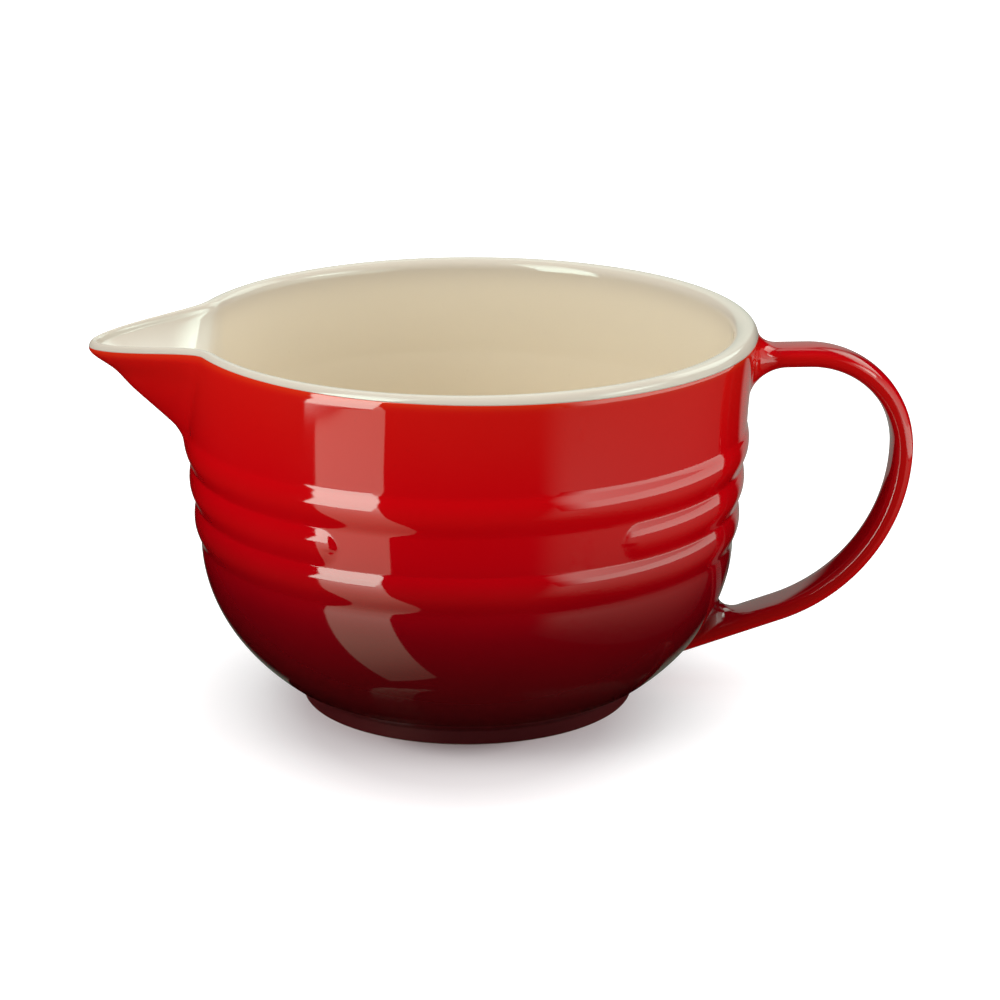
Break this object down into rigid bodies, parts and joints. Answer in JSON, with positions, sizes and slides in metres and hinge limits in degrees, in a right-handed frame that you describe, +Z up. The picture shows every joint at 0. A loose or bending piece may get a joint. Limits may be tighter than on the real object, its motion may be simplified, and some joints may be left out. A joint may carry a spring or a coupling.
{
  "type": "batter bowl",
  "caption": "Footed stoneware batter bowl with a ribbed round wall, a pouring spout at the rim and a strap handle opposite it, glazed red outside and cream inside.",
  "frame": {"origin": "centre of the foot, on the table", "axes": "+Z up, spout towards -X, handle towards +X, plain panel towards -Y"},
  "size_m": [0.2699, 0.185, 0.1256],
  "materials": {
    "red_glaze": "glossy red glaze on stoneware",
    "maroon_glaze": "glossy red glaze deepened to maroon",
    "cream_glaze": "glossy cream glaze on stoneware"
  },
  "bodies": {
    "root": {"bowl_wall": "red_glaze", "foot_ring": "maroon_glaze", "cream_lining": "cream_glaze", "pouring_spout": "red_glaze", "spout_lining": "cream_glaze", "handle": "red_glaze", "upper_handle_joint": "red_glaze", "lower_handle_joint": "maroon_glaze"}
  },
  "joints": []
}
